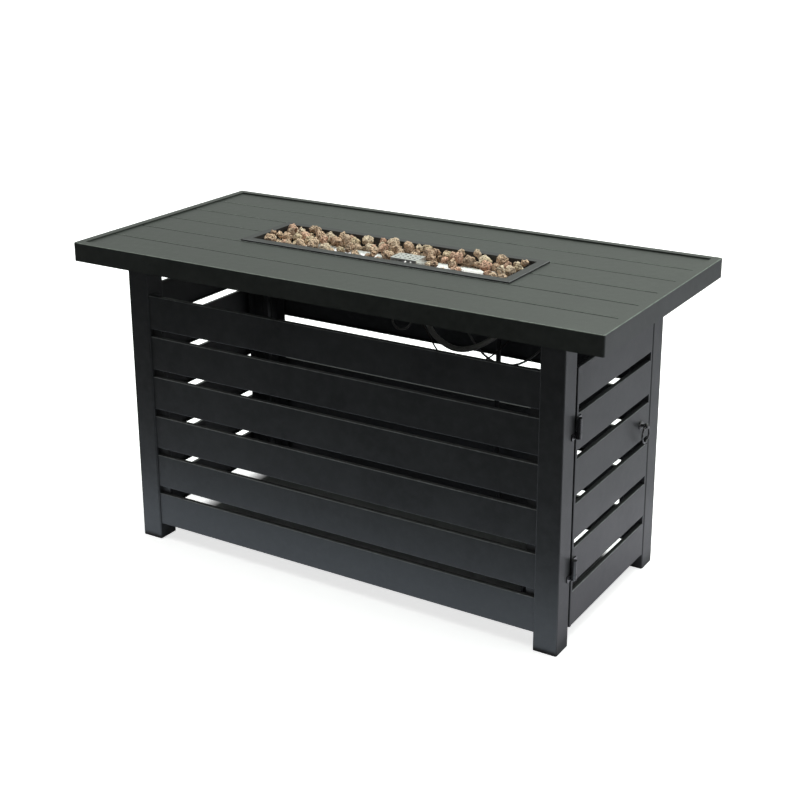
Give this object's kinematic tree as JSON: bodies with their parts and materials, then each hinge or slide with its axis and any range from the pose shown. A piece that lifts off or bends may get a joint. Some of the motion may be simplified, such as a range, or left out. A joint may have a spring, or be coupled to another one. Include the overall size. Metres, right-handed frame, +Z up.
{
  "type": "fire pit table",
  "caption": "Rectangular gas fire-pit table: dark slatted steel base with a hinged side door, plank-look top and a sunken burner pan filled with lava rocks",
  "frame": {"origin": "on the floor, under the middle of the tabletop", "axes": "+X along the long front towards the door, +Y from the front to the back, +Z up"},
  "size_m": [1.08, 0.516, 0.6145],
  "materials": {
    "powder_coat": "satin powder coat, dark grey",
    "pan_paint": "satin heat-proof paint, near black",
    "zinc_steel": "bright zinc plating",
    "black_metal": "gloss black",
    "stainless": "brushed stainless steel",
    "brass": "turned brass",
    "hose_rubber": "smooth black rubber",
    "wire_jacket": "black silicone jacket",
    "copper_lead": "bare copper capillary",
    "lava_stone": "porous, dusty, beige to brown",
    "electrode_ceramic": "matt white ceramic",
    "black_plastic": "moulded black plastic",
    "regulator_metal": "cast grey metal"
  },
  "bodies": {
    "frame": {"tabletop": "powder_coat", "top_rail_front": "powder_coat", "top_rail_back": "powder_coat", "top_stiffener_left": "powder_coat", "top_stiffener_right": "powder_coat", "front_slats": "powder_coat", "back_slats": "powder_coat", "left_slats": "powder_coat", "front_stiles": "powder_coat", "back_stiles": "powder_coat", "left_stiles": "powder_coat", "leg_front_left": "powder_coat", "leg_front_right": "powder_coat", "leg_back_left": "powder_coat", "leg_back_right": "powder_coat", "control_panel": "powder_coat", "burner_pan": "pan_paint", "tabletop_studs": "zinc_steel", "stud_nuts": "zinc_steel", "panel_bolts": "zinc_steel", "hinge_post_lower": "black_metal", "hinge_post_upper": "black_metal", "burner_tube": "stainless", "burner_saddles": "stainless", "igniter_cover": "stainless", "burner_nut": "brass", "inlet_elbow": "brass", "gas_mixer": "brass", "gas_valve": "brass", "gas_hose": "hose_rubber", "burner_hose": "hose_rubber", "igniter_wire": "wire_jacket", "thermocouple_lead": "copper_lead", "lava_rocks": "lava_stone", "spark_electrode": "electrode_ceramic", "thermocouple": "electrode_ceramic", "leg_feet": "black_plastic", "door_catch": "black_plastic", "igniter_body": "black_plastic", "regulator": "regulator_metal"},
    "door": {"door_slats": "powder_coat", "door_stile_hinge": "powder_coat", "door_stile_latch": "powder_coat", "hinge_leaf_lower": "black_metal", "hinge_leaf_upper": "black_metal", "hinge_screws": "black_metal", "catch_plate": "zinc_steel", "pull_post": "black_metal", "pull_nut": "zinc_steel"},
    "ring": {"pull_ring": "black_metal"},
    "stem": {"valve_stem": "brass"},
    "knob": {"control_knob": "black_plastic"},
    "button": {"igniter_button": "black_plastic"},
    "coupling": {"coupling_nut": "black_plastic"}
  },
  "joints": [
    {"name": "door_hinge", "type": "hinge", "parent": "frame", "child": "door", "pos_m": [0.4595, -0.1605, 0.26], "axis": [0, 0, -1], "range_deg": [0, 165]},
    {"name": "ring_swing", "type": "hinge", "parent": "door", "child": "ring", "pos_m": [0.465, 0.12, 0.30742], "axis": [0, -1, 0], "range_deg": [-10, 165]},
    {"name": "stem_push", "type": "slide", "parent": "frame", "child": "stem", "axis": [0, -1, 0], "range_m": [0, 0.003], "stiffness_N_per_m": 1500},
    {"name": "knob_turn", "type": "hinge", "parent": "stem", "child": "knob", "pos_m": [0.234, 0.216, 0.538], "axis": [0, 1, 0], "range_deg": [0, 180]},
    {"name": "igniter_push", "type": "slide", "parent": "frame", "child": "button", "axis": [0, -1, 0], "range_m": [0, 0.005], "stiffness_N_per_m": 1200},
    {"name": "coupling_turn", "type": "hinge", "parent": "frame", "child": "coupling", "pos_m": [0.334, -0.05, 0.0215], "axis": [0, 1, 0], "continuous": true}
  ]
}
